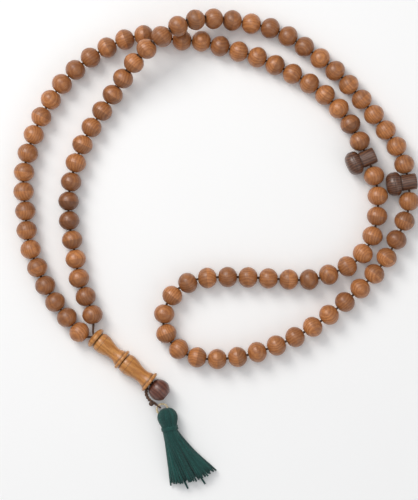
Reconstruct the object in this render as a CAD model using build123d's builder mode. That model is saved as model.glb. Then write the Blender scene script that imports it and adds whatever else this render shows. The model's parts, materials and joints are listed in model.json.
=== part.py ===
from build123d import *

import os
from math import pi, radians, sqrt, tan

# A string of ninety-nine wooden prayer beads, lying flat as a loose loop. Two turned markers
# part the beads into thirds. Both ends of the string run through a turned leader, whose end
# bead carries a twisted cord with a tassel.
#
# Frame: millimetres, +Z up, the table at Z = 0, the origin under the middle of the object.

os.makedirs("parts", exist_ok=True)

# ---------------------------------------------------------------- driving dimensions

bead_diameter = 8.0
bead_length = 6.95
bead_end_diameter = 2.6
bead_flank_bulge = 0.78
beads_per_third = 33
single_beads_at_each_end = 3
beads_per_group = 3

string_diameter = 0.9
string_clearance = 0.55

marker_stem_diameter = 6.1
marker_stem_back = 3.2
marker_neck = 2.9
marker_head_diameter = 9.1
marker_head_thickness = 5.5
marker_head_widest_share = 0.45
marker_head_face_share = 0.4
marker_head_round = 0.85
marker_edge_round = 0.5
marker_table_gap = 0.15

leader_mouth_x = -46.9
leader_mouth_y = -33.1
leader_angle = -39.3
leader_play = 0.1
strand_spacing = 1.0
strand_clearance = 0.35
cap_diameter = 8.2
cap_thickness = 2.3
cap_back_diameter = 7.0
mouth_flare_depth = 0.7
upper_vase_length = 12.6
upper_vase_top_diameter = 6.3
upper_vase_belly_diameter = 7.3
upper_vase_waist_diameter = 5.0
upper_vase_flange_diameter = 8.4
lower_vase_length = 13.4
lower_vase_top_diameter = 6.6
lower_vase_belly_diameter = 7.5
lower_vase_waist_diameter = 5.3
lower_vase_flange_diameter = 8.6
flange_thickness = 1.2
flange_round = 0.5
belly_share = 0.27
waist_share = 0.7
cord_dish_depth = 1.0
end_bead_diameter = 8.2
end_bead_flat_diameter = 3.6
knot_diameter = 3.0
knot_recess_clearance = 0.25

lead_in = 5.7
lead_out = 3.4
mouth_corner_depth = 0.1
strand_end_depth = 1.5
strand_gap = 0.35

tassel_cord_diameter = 1.3
cord_reach = 7.8
cord_side = -5.0
cord_knot_diameter = 2.5
cord_loop_radius = 1.0
cord_loop_thickness = 0.76
eye_radius = 2.1
eye_thread_diameter = 0.7
tassel_head_diameter = 7.6
tassel_head_length = 7.0
tassel_neck_diameter = 5.8
binding_width = 1.5
binding_thickness = 0.45
skirt_length = 21.0
skirt_width = 17.5
skirt_thickness = 5.0
tassel_head_angle = -79.0
tassel_skirt_angle = -67.0

# ---------------------------------------------------------------- the lay of the string

# The loop was laid out with beads of this size. Other beads open or close it in proportion.
drawn_bead_diameter = 8.0
drawn_bead_length = 6.95
lay_scale = max(bead_diameter / drawn_bead_diameter, bead_length / drawn_bead_length)
height_scale = bead_diameter / drawn_bead_diameter
# A marker's head is wider than the beads, so it holds the string up off the table.
marker_lift = max(marker_head_diameter - bead_diameter, 0) / 2 + marker_table_gap

# Route points, each (x, y, lift above a resting bead). The first third leaves the leader,
# climbs over the last third on its way, and ends at marker two.
first_third = [
    (-46.9, -31.6, 0.2),
    (-46.6, -29.2, 0.1),
    (-46.7, -24.0, 0.0),
    (-52.2, -13.2, 0.0),
    (-53.5, -2.6, 0.0),
    (-55.9, 8.6, 0.0),
    (-56.4, 19.2, 0.0),
    (-54.2, 30.8, 0.0),
    (-50.1, 42.2, 0.0),
    (-43.4, 52.4, 0.0),
    (-37.6, 61.2, 1.1),
    (-30.6, 71.3, 5.6),
    (-23.4, 78.2, 8.4),
    (-16.6, 83.0, 8.7),
    (-7.6, 87.2, 6.0),
    (2.2, 87.4, 1.6),
    (12.4, 86.1, 0.0),
    (23.4, 83.6, 0.0),
    (35.0, 76.3, 0.0),
    (46.6, 67.2, 0.0),
    (56.6, 55.8, 0.0),
    (65.0, 45.0, 0.1),
    (70.8, 36.2, 0.3),
]
marker_two_spot = (73.6, 25.4, marker_lift)
second_third = [
    (73.9, 15.6, 0.3),
    (70.2, 5.8, 0.0),
    (64.2, -5.4, 0.0),
    (55.8, -14.8, 0.0),
    (45.4, -23.5, 0.0),
    (34.8, -31.6, 0.0),
    (22.0, -37.6, 0.0),
    (8.6, -41.6, 0.0),
    (-3.2, -42.4, 0.0),
    (-12.3, -40.3, 0.0),
    (-19.0, -34.0, 0.0),
    (-20.6, -25.5, 0.0),
    (-16.9, -17.1, 0.0),
    (-10.0, -12.1, 0.0),
    (-2.6, -10.9, 0.0),
    (9.4, -10.7, 0.0),
    (24.0, -11.6, 0.0),
    (37.0, -12.2, 0.0),
    (46.6, -8.6, 0.0),
    (54.4, -4.6, 0.0),
    (59.6, 3.2, 0.0),
    (61.8, 12.6, 0.0),
    (61.9, 21.8, 0.2),
    (60.2, 28.6, 0.5),
]
marker_one_spot = (57.7, 34.6, marker_lift)
last_third = [
    (54.6, 41.8, 0.4),
    (48.8, 51.8, 0.0),
    (39.6, 60.8, 0.0),
    (27.4, 67.8, 0.0),
    (14.6, 73.7, 0.0),
    (3.6, 76.4, 0.0),
    (-5.2, 79.6, 0.0),
    (-14.4, 79.1, 0.0),
    (-25.2, 82.2, 0.0),
    (-36.0, 79.6, 0.0),
    (-48.0, 73.2, 0.0),
    (-58.6, 63.6, 0.0),
    (-66.6, 51.0, 0.0),
    (-71.6, 37.6, 0.0),
    (-73.8, 26.0, 0.0),
    (-72.4, 13.6, 0.0),
    (-72.1, 3.8, 0.0),
    (-67.8, -8.2, 0.0),
    (-62.8, -18.6, 0.0),
    (-56.6, -26.2, 0.0),
    (-52.6, -32.0, 0.0),
    (-49.8, -33.7, 0.1),
]

# ---------------------------------------------------------------- worked-out places

leader_axis_height = max(
    cap_diameter,
    upper_vase_flange_diameter,
    lower_vase_flange_diameter,
    end_bead_diameter,
) / 2
leader_direction = Vector(1, 0, 0).rotate(Axis.Z, leader_angle)
leader = Plane(
    origin=(leader_mouth_x * lay_scale, leader_mouth_y * lay_scale, leader_axis_height),
    x_dir=leader_direction,
    z_dir=(0, 0, 1),
)
leader_bore_radius = (strand_spacing + string_diameter) / 2 + strand_clearance
upper_vase_start = cap_thickness + leader_play
lower_vase_start = upper_vase_start + upper_vase_length + leader_play
groove_at = lower_vase_start + lower_vase_length
end_bead_centre = groove_at + leader_play + end_bead_diameter / 2


def on_leader(along, across, up=0.0):
    """A point in the leader's own frame: along its axis, across it on the table, and up."""
    return leader.from_local_coords(Vector(along, across, up))


def laid(points):
    """Route points at the height of a resting bead, opened out for the beads' size."""
    return [
        Vector(x * lay_scale, y * lay_scale, bead_diameter / 2 + lift * height_scale)
        for x, y, lift in points
    ]


route = [
    on_leader(strand_end_depth, strand_spacing / 2),
    on_leader(mouth_corner_depth, strand_spacing / 2),
    *laid(first_third),
    *laid([marker_two_spot]),
    *laid(second_third),
    *laid([marker_one_spot]),
    *laid(last_third),
    on_leader(mouth_corner_depth, -strand_spacing / 2),
    on_leader(strand_end_depth, -strand_spacing / 2),
]
marker_two_corner = 2 + len(first_third)
marker_one_corner = marker_two_corner + 1 + len(second_third)

arc_share = 0.45


def corner_turns(points):
    """Each corner's turn in degrees and its setback, the run that its arc takes on each side."""
    turns = []
    for before, corner, after in zip(points, points[1:], points[2:]):
        arriving = corner - before
        leaving = after - corner
        setback = arc_share * min(arriving.length, leaving.length)
        turns.append((arriving.get_angle(leaving), setback))
    return turns


def arc_radii(points):
    """Each corner's largest radius that leaves a tenth of its shorter run straight."""
    return [setback / tan(radians(turn / 2)) for turn, setback in corner_turns(points)]


corner_radii = arc_radii(route)
corner_setbacks = [0.0, *[setback for turn, setback in corner_turns(route)], 0.0]
corner_arcs = [
    0.0,
    *[radius * radians(turn) for radius, (turn, _) in zip(corner_radii, corner_turns(route))],
    0.0,
]

# Distance along the string from its start to the middle of each corner's arc.
corner_distances = [0.0]
for corner in range(1, len(route)):
    run = (route[corner] - route[corner - 1]).length
    straight = run - corner_setbacks[corner - 1] - corner_setbacks[corner]
    arcs = (corner_arcs[corner - 1] + corner_arcs[corner]) / 2
    corner_distances.append(corner_distances[-1] + straight + arcs)
string_length = corner_distances[-1]
marker_two_distance = corner_distances[marker_two_corner]
marker_one_distance = corner_distances[marker_one_corner]

print(f"string {string_length:.1f} mm, corner radii from {min(corner_radii):.2f} mm")

with BuildLine() as string_path:
    FilletPolyline(*route, radius=corner_radii)
string_wire = string_path.wires()[0]


def string_point(distance):
    """The point of the string's centre line at a distance from its start."""
    return string_wire.position_at(distance, position_mode=PositionMode.LENGTH)


def string_plane(distance, reach):
    """A plane on the string, X along the chord of a piece that reaches this far each way."""
    start = string_point(distance - reach)
    end = string_point(distance + reach)
    along = (end - start).normalized()
    across = Vector(0, 0, 1).cross(along)
    middle = (start + end) / 2
    return Plane(
        origin=(middle + string_point(distance)) / 2,
        x_dir=along,
        z_dir=along.cross(across),
    )


def bead_spots(first_end, last_end, end_gaps):
    """Planes of one third's beads, sharing the free length between two stops evenly."""
    free = last_end - first_end - beads_per_third * bead_length
    play = free / (beads_per_third - 1 + end_gaps)
    print(f"play between beads {play:.3f} mm")
    lead = play if end_gaps == 2 or first_end > lead_in else 0.0
    pitch = bead_length + play
    first_centre = first_end + lead + bead_length / 2
    return [
        string_plane(first_centre + index * pitch, bead_length / 2)
        for index in range(beads_per_third)
    ]


stem_radius = marker_stem_diameter / 2
bead_planes = [
    *bead_spots(lead_in, marker_two_distance - stem_radius, 1),
    *bead_spots(marker_two_distance + stem_radius, marker_one_distance - stem_radius, 2),
    *bead_spots(marker_one_distance + stem_radius, string_length - lead_out, 1),
]


def save(piece, name):
    """Label a finished piece and write it under its node's name."""
    piece.part.label = name
    export_step(piece.part, f"parts/{name}.step")


# ---------------------------------------------------------------- string

with BuildPart() as string:
    with BuildSketch(Plane(origin=string_wire @ 0, z_dir=string_wire % 0)):
        Circle(string_diameter / 2)
    sweep(path=string_wire)
save(string, "string")

section = pi * string_diameter**2 / 4
print(f"tube volume {string.part.volume:.2f}, section x length {section * string_length:.2f}")

# ---------------------------------------------------------------- beads

bead_radius = bead_diameter / 2
bead_bore_radius = string_diameter / 2 + string_clearance
bead_end_radius = bead_end_diameter / 2
bead_half = bead_length / 2


def make_beads(spots, name):
    """Turned beads at these planes: two bulged flanks that meet in a faint ridge at the middle."""
    bulge_at = 0.5 * bead_half
    bulge_radius = (bead_radius + bead_end_radius) / 2 + bead_flank_bulge
    with BuildPart() as beads:
        for spot in spots:
            with BuildSketch(spot):
                with BuildLine():
                    Line((-bead_half, bead_bore_radius), (-bead_half, bead_end_radius))
                    ThreePointArc(
                        (-bead_half, bead_end_radius), (-bulge_at, bulge_radius), (0, bead_radius)
                    )
                    ThreePointArc(
                        (0, bead_radius), (bulge_at, bulge_radius), (bead_half, bead_end_radius)
                    )
                    Line((bead_half, bead_end_radius), (bead_half, bead_bore_radius))
                    Line((bead_half, bead_bore_radius), (-bead_half, bead_bore_radius))
                make_face()
            revolve(axis=Axis(spot.origin, spot.x_dir))
    save(beads, name)


def bead_sets():
    """Each bead node's first and last bead number: single beads at a third's ends, then groups."""
    sets = []
    for third in range(3):
        first = third * beads_per_third + 1
        last = first + beads_per_third - 1
        inner_first = first + single_beads_at_each_end
        inner_last = last - single_beads_at_each_end
        sets += [(number, number) for number in range(first, inner_first)]
        for number in range(inner_first, inner_last + 1, beads_per_group):
            sets.append((number, min(number + beads_per_group - 1, inner_last)))
        sets += [(number, number) for number in range(inner_last + 1, last + 1)]
    return sets


for first, last in bead_sets():
    name = f"bead_{first:02d}" if first == last else f"beads_{first:02d}_to_{last:02d}"
    make_beads(bead_planes[first - 1 : last], name)

# ---------------------------------------------------------------- markers


def make_marker(distance, side, name):
    """A turned peg strung through its stem, with its bun head on one side of the string."""
    on_string = string_plane(distance, stem_radius)
    tangent = on_string.x_dir
    turned = Plane(origin=on_string.origin, x_dir=on_string.y_dir * side, z_dir=(0, 0, 1))
    head_radius = marker_head_diameter / 2
    head_middle = marker_neck + marker_head_widest_share * marker_head_thickness
    head_end = marker_neck + marker_head_thickness
    face_radius = marker_head_face_share * head_radius
    edge = marker_edge_round
    with BuildPart() as marker:
        with BuildSketch(turned):
            with BuildLine():
                Line((-marker_stem_back, 0), (-marker_stem_back, stem_radius - edge))
                RadiusArc(
                    (-marker_stem_back, stem_radius - edge), (edge - marker_stem_back, stem_radius), edge
                )
                Line((edge - marker_stem_back, stem_radius), (marker_neck, stem_radius))
                ThreePointArc(
                    (marker_neck, stem_radius),
                    (marker_neck + 0.7, head_radius - 0.45),
                    (head_middle, head_radius),
                )
                ThreePointArc(
                    (head_middle, head_radius),
                    (head_end - marker_head_round, head_radius - marker_head_round),
                    (head_end, face_radius),
                )
                Line((head_end, face_radius), (head_end, 0))
                Line((head_end, 0), (-marker_stem_back, 0))
            make_face()
        revolve(axis=Axis(turned.origin, turned.x_dir))
        with BuildSketch(Plane(origin=turned.origin, z_dir=tangent)):
            Circle(bead_bore_radius)
        extrude(amount=marker_stem_diameter, both=True, mode=Mode.SUBTRACT)
    save(marker, name)


make_marker(marker_one_distance, 1, "marker_one")
make_marker(marker_two_distance, -1, "marker_two")

# ---------------------------------------------------------------- leader

leader_axis = Axis(leader.origin, leader.x_dir)
flare_radius = leader_bore_radius + mouth_flare_depth

with BuildPart() as leader_cap:
    with BuildSketch(leader):
        with BuildLine():
            Line((mouth_flare_depth, leader_bore_radius), (0.0, flare_radius))
            ThreePointArc(
                (0.0, flare_radius), (0.45, 0.8 * cap_diameter / 2), (1.15, cap_diameter / 2)
            )
            ThreePointArc(
                (1.15, cap_diameter / 2),
                (0.8 * cap_thickness, cap_diameter / 2 - 0.08),
                (cap_thickness, cap_back_diameter / 2),
            )
            Line((cap_thickness, cap_back_diameter / 2), (cap_thickness, leader_bore_radius))
            Line((cap_thickness, leader_bore_radius), (mouth_flare_depth, leader_bore_radius))
        make_face()
    revolve(axis=leader_axis)
save(leader_cap, "leader_cap")


def make_vase(start, length, top, belly, waist, flange, dish, name):
    """A vase-shaped leader bead: top, belly, waist, then a rounded flange, each a diameter."""
    end = start + length
    flange_start = end - flange_thickness
    shoulder = flange / 2 - flange_round
    with BuildPart() as vase:
        with BuildSketch(leader):
            with BuildLine():
                Line((start, leader_bore_radius), (start, top / 2))
                Spline(
                    (start, top / 2),
                    (start + belly_share * length, belly / 2),
                    (start + waist_share * length, waist / 2),
                    (flange_start, shoulder),
                )
                ThreePointArc(
                    (flange_start, shoulder),
                    (flange_start + 0.55 * flange_thickness, flange / 2),
                    (end, shoulder),
                )
                Line((end, shoulder), (end - dish, leader_bore_radius))
                Line((end - dish, leader_bore_radius), (start, leader_bore_radius))
            make_face()
        revolve(axis=leader_axis)
    save(vase, name)


make_vase(
    upper_vase_start,
    upper_vase_length,
    upper_vase_top_diameter,
    upper_vase_belly_diameter,
    upper_vase_waist_diameter,
    upper_vase_flange_diameter,
    0.0,
    "leader_upper_vase",
)
make_vase(
    lower_vase_start,
    lower_vase_length,
    lower_vase_top_diameter,
    lower_vase_belly_diameter,
    lower_vase_waist_diameter,
    lower_vase_flange_diameter,
    cord_dish_depth,
    "leader_lower_vase",
)

end_bead_radius = end_bead_diameter / 2
end_bead_flat_radius = end_bead_flat_diameter / 2
end_bead_half = sqrt(end_bead_radius**2 - end_bead_flat_radius**2)
knot_radius = knot_diameter / 2
recess_radius = knot_radius + knot_recess_clearance
knot_centre = end_bead_centre + end_bead_half - knot_radius - knot_recess_clearance
recess_floor = knot_centre - knot_radius - knot_recess_clearance

with BuildPart() as end_bead:
    with BuildSketch(leader):
        with BuildLine():
            Line(
                (end_bead_centre - end_bead_half, leader_bore_radius),
                (end_bead_centre - end_bead_half, end_bead_flat_radius),
            )
            ThreePointArc(
                (end_bead_centre - end_bead_half, end_bead_flat_radius),
                (end_bead_centre, end_bead_radius),
                (end_bead_centre + end_bead_half, end_bead_flat_radius),
            )
            Polyline(
                (end_bead_centre + end_bead_half, end_bead_flat_radius),
                (end_bead_centre + end_bead_half, recess_radius),
                (recess_floor, recess_radius),
                (recess_floor, leader_bore_radius),
                (end_bead_centre - end_bead_half, leader_bore_radius),
            )
        make_face()
    revolve(axis=leader_axis)
save(end_bead, "end_bead")

# The string's two ends side by side down the leader's bore, tied off in the end bead's recess.
strands_start = strand_end_depth + strand_gap
with BuildPart() as leader_strings:
    with BuildSketch(Plane(origin=on_leader(strands_start, 0), z_dir=leader_direction)) as strands:
        with Locations((0, strand_spacing / 2), (0, -strand_spacing / 2)):
            Circle(string_diameter / 2)
    extrude(amount=knot_centre - strands_start)
    with BuildSketch(leader):
        with Locations((knot_centre, 0)):
            Circle(knot_radius)
            Rectangle(
                knot_diameter,
                knot_diameter,
                align=(Align.CENTER, Align.MAX),
                mode=Mode.SUBTRACT,
            )
    revolve(axis=leader_axis)
save(leader_strings, "leader_strings")

# ---------------------------------------------------------------- tassel cord

# The cord leaves the dished groove between the lower vase and the end bead, passes close around
# the end bead, is knotted, and ends in a small upright loop that holds the tassel's eye.
loop_height = tassel_head_diameter / 2 - leader_axis_height
loop_along = groove_at + cord_reach
cord_route = [
    on_leader(groove_at, -2.1, 0.0),
    on_leader(groove_at + 0.65, -3.6, 0.3),
    on_leader(groove_at + 2.1, -4.85, 1.0),
    on_leader(groove_at + 4.5, -5.4, 0.7),
    on_leader(loop_along - cord_loop_radius, cord_side, loop_height),
]
cord_loop_centre = on_leader(loop_along, cord_side, loop_height)
cord_knot_centre = on_leader(groove_at + 5.2, -5.6, 0.3)

with BuildLine() as cord_path:
    FilletPolyline(*cord_route, radius=arc_radii(cord_route))
cord_wire = cord_path.wires()[0]

with BuildPart() as tassel_cord:
    with BuildSketch(Plane(origin=cord_wire @ 0, z_dir=cord_wire % 0)):
        Circle(tassel_cord_diameter / 2)
    sweep(path=cord_wire)
    with BuildSketch(Plane(origin=cord_knot_centre, x_dir=leader.x_dir, z_dir=(0, 0, 1))):
        Circle(cord_knot_diameter / 2)
        Rectangle(
            cord_knot_diameter,
            cord_knot_diameter,
            align=(Align.CENTER, Align.MAX),
            mode=Mode.SUBTRACT,
        )
    revolve(axis=Axis(cord_knot_centre, leader.x_dir))
    with BuildSketch(Plane(origin=cord_loop_centre, z_dir=leader.y_dir)):
        Circle(cord_loop_radius + cord_loop_thickness / 2)
        Circle(cord_loop_radius - cord_loop_thickness / 2, mode=Mode.SUBTRACT)
    extrude(amount=cord_loop_thickness / 2, both=True)
save(tassel_cord, "tassel_cord")

# ---------------------------------------------------------------- tassel

# A loop of thread, the tassel's eye, lies flat and links the cord's upright loop.
eye_centre = on_leader(loop_along + eye_radius, cord_side, loop_height)

with BuildPart() as tassel_eye:
    with Locations(eye_centre):
        Torus(eye_radius, eye_thread_diameter / 2)
save(tassel_eye, "tassel_eye")

head_direction = Vector(1, 0, 0).rotate(Axis.Z, tassel_head_angle)
skirt_direction = Vector(1, 0, 0).rotate(Axis.Z, tassel_skirt_angle)
fold_thickness = 1.7
eye_far_side = on_leader(loop_along + 2 * eye_radius, cord_side, loop_height)
tassel = Plane(
    origin=eye_far_side - head_direction * fold_thickness, x_dir=head_direction, z_dir=(0, 0, 1)
)
tassel_axis = Axis(tassel.origin, tassel.x_dir)
head_radius = tassel_head_diameter / 2
neck_radius = tassel_neck_diameter / 2
neck_end = tassel_head_length + binding_width
skirt_top = tassel.from_local_coords(Vector(neck_end, 0, 0))
skirt_middle = skirt_top + skirt_direction * skirt_length
skirt_floor_gap = 0.05
skirt_end = Vector(skirt_middle.X, skirt_middle.Y, skirt_thickness / 2 + skirt_floor_gap)

with BuildPart() as tassel_yarns:
    with BuildSketch(tassel):
        with BuildLine():
            ThreePointArc(
                (0, 0),
                (0.14 * tassel_head_length, 0.68 * head_radius),
                (0.5 * tassel_head_length, head_radius),
            )
            ThreePointArc(
                (0.5 * tassel_head_length, head_radius),
                (0.82 * tassel_head_length, (head_radius + neck_radius) / 2 + 0.2),
                (tassel_head_length, neck_radius),
            )
            Polyline(
                (tassel_head_length, neck_radius), (neck_end, neck_radius), (neck_end, 0), (0, 0)
            )
        make_face()
    revolve(axis=tassel_axis)
    with BuildSketch(Plane(origin=skirt_top, x_dir=tassel.y_dir, z_dir=head_direction)):
        Circle(neck_radius)
    with BuildSketch(
        Plane(
            origin=skirt_end,
            x_dir=Vector(0, 0, 1).cross(skirt_direction),
            z_dir=skirt_direction,
        )
    ):
        Ellipse(skirt_width / 2, skirt_thickness / 2)
    loft(ruled=True)
    with Locations(eye_centre):
        Torus(eye_radius, eye_thread_diameter / 2, mode=Mode.SUBTRACT)
save(tassel_yarns, "tassel_yarns")

with BuildPart() as tassel_binding:
    with BuildSketch(tassel):
        with Locations((tassel_head_length, neck_radius)):
            Rectangle(binding_width, binding_thickness, align=(Align.MIN, Align.MIN))
    revolve(axis=tassel_axis)
save(tassel_binding, "tassel_binding")
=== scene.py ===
"""Dressed scene of a 99-bead wooden prayer string with a turned leader and a yarn tassel."""

import json
import logging
import math
import random
from dataclasses import dataclass
from enum import Enum
from typing import Any, Callable, Sequence

import bpy
import numpy as np
from mathutils import Matrix, Vector


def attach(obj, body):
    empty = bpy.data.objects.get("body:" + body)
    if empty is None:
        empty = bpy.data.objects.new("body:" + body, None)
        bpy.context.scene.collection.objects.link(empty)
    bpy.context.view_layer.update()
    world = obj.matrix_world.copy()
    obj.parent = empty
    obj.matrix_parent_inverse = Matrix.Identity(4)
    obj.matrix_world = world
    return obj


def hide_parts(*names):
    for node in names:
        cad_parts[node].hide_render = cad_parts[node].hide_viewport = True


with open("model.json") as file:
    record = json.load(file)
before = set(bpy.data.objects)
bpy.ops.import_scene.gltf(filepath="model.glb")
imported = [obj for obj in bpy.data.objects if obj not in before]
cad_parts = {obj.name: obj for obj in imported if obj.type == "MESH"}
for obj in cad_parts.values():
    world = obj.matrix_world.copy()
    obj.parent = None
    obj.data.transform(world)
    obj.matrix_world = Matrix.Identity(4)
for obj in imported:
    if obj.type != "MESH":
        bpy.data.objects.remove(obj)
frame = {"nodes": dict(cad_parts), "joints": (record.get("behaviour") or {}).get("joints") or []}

MM = 0.001
LOG = logging.getLogger("prayer_beads")

Spot = tuple[float, float]
Point = tuple[float, float, float]
Colour = tuple[float, float, float]

# Colour sockets of a Mix node, which share their names with its other kinds.
MIX_SHARE, MIX_FIRST, MIX_SECOND, MIX_RESULT = 0, 6, 7, 2
BUMP_STRENGTH = 0.6


class Body(Enum):
    """CAD bodies that pieces with no bead number ride on."""

    STRING = "string_loop"
    STRANDS = "leader_strand_pair"
    CORD = "tassel_cord_body"
    TASSEL = "tassel_body"


class Slot(Enum):
    """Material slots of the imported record."""

    BEAD = "bead_wood"
    LEADER = "leader_wood"
    MARKER = "marker_wood"
    END_BEAD = "end_bead_wood"
    STRING = "string"
    CORD = "brown_cord"
    EYE = "eye_thread"
    YARN = "tassel_yarn"


def tint(code: str) -> Colour:
    """Scene-linear colour of a six-digit colour code.

    Args:
        code: Red, green and blue as two hexadecimal digits each.

    Returns:
        The three linear channels.
    """
    parts = [int(code[at : at + 2], 16) / 255 for at in (0, 2, 4)]
    return tuple(c / 12.92 if c <= 0.04045 else ((c + 0.055) / 1.055) ** 2.4 for c in parts)


# ---------------------------------------------------------------------------- shader graphs


class Wire:
    """One value inside a shader graph, used like a number."""

    def __init__(self, graph: "Graph", socket: bpy.types.NodeSocket) -> None:
        """Keeps the graph and the output socket that carries the value."""
        self.graph = graph
        self.socket = socket

    def __add__(self, other: "Wire | float") -> "Wire":
        """Sum of two values."""
        return self.graph.maths("ADD", self, other)

    def __sub__(self, other: "Wire | float") -> "Wire":
        """Difference of two values."""
        return self.graph.maths("SUBTRACT", self, other)

    def __mul__(self, other: "Wire | float") -> "Wire":
        """Product of two values."""
        return self.graph.maths("MULTIPLY", self, other)

    def __rsub__(self, other: float) -> "Wire":
        """Difference from a plain number."""
        return self.graph.maths("SUBTRACT", other, self)

    __radd__ = __add__
    __rmul__ = __mul__

    def sine(self) -> "Wire":
        """Sine of the value, from 0 to 1."""
        return self.graph.maths("SINE", self) * 0.5 + 0.5

    def step(self, low: float, high: float) -> "Wire":
        """Smooth 0 to 1 ramp between two values.

        Args:
            low: Where the ramp leaves 0.
            high: Where it reaches 1.

        Returns:
            The ramped value.
        """
        node = self.graph.node(
            "ShaderNodeMapRange",
            {"interpolation_type": "SMOOTHSTEP"},
            {"Value": self, "From Min": low, "From Max": high},
        )
        return Wire(self.graph, node.outputs["Result"])


class Graph:
    """A node material under construction."""

    def __init__(self, name: str) -> None:
        """Starts an empty node material.

        Args:
            name: The material's name.
        """
        self.material = bpy.data.materials.new(name)
        self.material.use_nodes = True
        self.tree = self.material.node_tree
        self.tree.nodes.clear()

    def node(self, kind: str, settings: dict[str, Any], values: dict[Any, Any]) -> bpy.types.Node:
        """Adds any node.

        Args:
            kind: The node's type.
            settings: Properties, set before the sockets.
            values: Input name or number to a wire or a plain value.

        Returns:
            The new node.
        """
        node = self.tree.nodes.new(kind)
        for key, setting in settings.items():
            setattr(node, key, setting)
        for key, value in values.items():
            if isinstance(value, Wire):
                self.tree.links.new(value.socket, node.inputs[key])
            else:
                node.inputs[key].default_value = value
        return node

    def maths(self, operation: str, *terms: "Wire | float") -> Wire:
        """One Math node over wires and numbers."""
        node = self.node("ShaderNodeMath", {"operation": operation}, dict(enumerate(terms)))
        return Wire(self, node.outputs[0])

    def layer(self, name: str, output: str) -> Wire:
        """A mesh attribute, read from the named output."""
        node = self.node("ShaderNodeAttribute", {"attribute_name": name}, {})
        return Wire(self, node.outputs[output])

    def stretched(self, vector: Wire, factors: Point) -> Wire:
        """A vector scaled along each of its axes."""
        node = self.node("ShaderNodeVectorMath", {"operation": "MULTIPLY"}, {0: vector, 1: factors})
        return Wire(self, node.outputs[0])

    def axis(self, vector: Wire, name: str) -> Wire:
        """The X, Y or Z part of a vector."""
        return Wire(self, self.node("ShaderNodeSeparateXYZ", {}, {0: vector}).outputs[name])

    def noise(self, vector: Wire, scale: float, detail: float = 3.0) -> Wire:
        """Fractal noise from 0 to 1 over a vector."""
        values = {"Vector": vector, "Scale": scale, "Detail": detail}
        return Wire(self, self.node("ShaderNodeTexNoise", {}, values).outputs[0])

    def blend(self, share: Wire, first: "Wire | Colour", second: "Wire | Colour") -> Wire:
        """Mixes two colours.

        Args:
            share: How much of the second colour, 0 to 1.
            first: Colour at share 0.
            second: Colour at share 1.

        Returns:
            The mixed colour.
        """
        ends = [c if isinstance(c, Wire) else (*c, 1.0) for c in (first, second)]
        values = {MIX_SHARE: share, MIX_FIRST: ends[0], MIX_SECOND: ends[1]}
        node = self.node("ShaderNodeMix", {"data_type": "RGBA"}, values)
        return Wire(self, node.outputs[MIX_RESULT])

    def surface(
        self, base: Wire, roughness: Wire, height: Wire, depth: float, plain: dict[str, Any]
    ) -> bpy.types.Material:
        """Ends the graph in a principled surface.

        Args:
            base: Base colour.
            roughness: Roughness.
            height: Relief from 0 to 1.
            depth: Depth of the relief in metres.
            plain: Uniform values set on the shader's own sockets.

        Returns:
            The finished material.
        """
        relief = {"Height": height, "Distance": depth, "Strength": BUMP_STRENGTH}
        bump = self.node("ShaderNodeBump", {}, relief)
        values = {"Base Color": base, "Roughness": roughness, "Normal": Wire(self, bump.outputs[0])}
        shader = self.node("ShaderNodeBsdfPrincipled", {}, {**values, **plain})
        self.node("ShaderNodeOutputMaterial", {}, {"Surface": Wire(self, shader.outputs[0])})
        return self.material


# ---------------------------------------------------------------------------- finishes


@dataclass(frozen=True)
class WoodFinish:
    """Satin-lacquered turned wood; grain runs along the first axis of the grain layer."""

    name: str
    light: Colour
    middle: Colour
    dark: Colour
    ring_pitch: float = 1.1
    ring_share: float = 0.55
    sheen: float = 0.35
    ring_wander: float = 14.0
    turning_marks: float = 21.0
    pore_depth: float = 0.5
    pore_stain: float = 0.55
    # How dark the painted shade in grooves and bores gets, as a share of the dark colour.
    crevice_shade: float = 0.28
    relief: float = 0.06 * MM

    def material(self) -> bpy.types.Material:
        """Builds growth rings, fibres, pores and turning marks under a thin lacquer, with painted
        shade from the shade layer in grooves, bores, bead ends and on one bead flank.

        Returns:
            The material.
        """
        g = Graph(self.name)
        grain = g.layer("grain", "Vector")
        tone = g.layer("tone", "Fac")
        shade = g.layer("shade", "Fac")
        cloud = g.noise(g.stretched(grain, (0.12, 0.3, 0.3)), 1.0, 2.0)
        years = g.axis(grain, "Y") * (math.tau / self.ring_pitch) + cloud * self.ring_wander
        growth = years.sine()
        fibre = g.noise(g.stretched(grain, (0.35, 3.2, 3.2)), 1.0, 4.0)
        pores = g.noise(g.stretched(grain, (0.8, 9.0, 9.0)), 1.0, 2.0).step(0.56, 0.7)
        patch = g.noise(grain, 0.22, 2.0).step(0.3, 0.7)
        turning = (g.axis(grain, "X") * self.turning_marks + fibre * 2.0).sine()
        figure = growth * self.ring_share + fibre * (1.0 - self.ring_share)
        base = g.blend(figure.step(0.2, 0.85), self.middle, self.light)
        base = g.blend(patch * 0.35, base, self.middle)
        base = g.blend(tone, base, self.dark)
        base = g.blend(pores * self.pore_stain, base, self.dark)
        # Painted shade: the shade layer darkens grooves, bores, bead ends and one bead flank toward
        # a deep dark wood colour.
        base = g.blend(shade, base, tuple(c * self.crevice_shade for c in self.dark))
        roughness = 0.3 + fibre * 0.18 + shade * 0.3
        height = fibre * 0.5 + turning * 0.18 - pores * self.pore_depth
        plain = {"Coat Weight": self.sheen, "Coat Roughness": 0.28, "IOR": 1.48}
        return g.surface(base, roughness, height, self.relief, plain)


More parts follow.
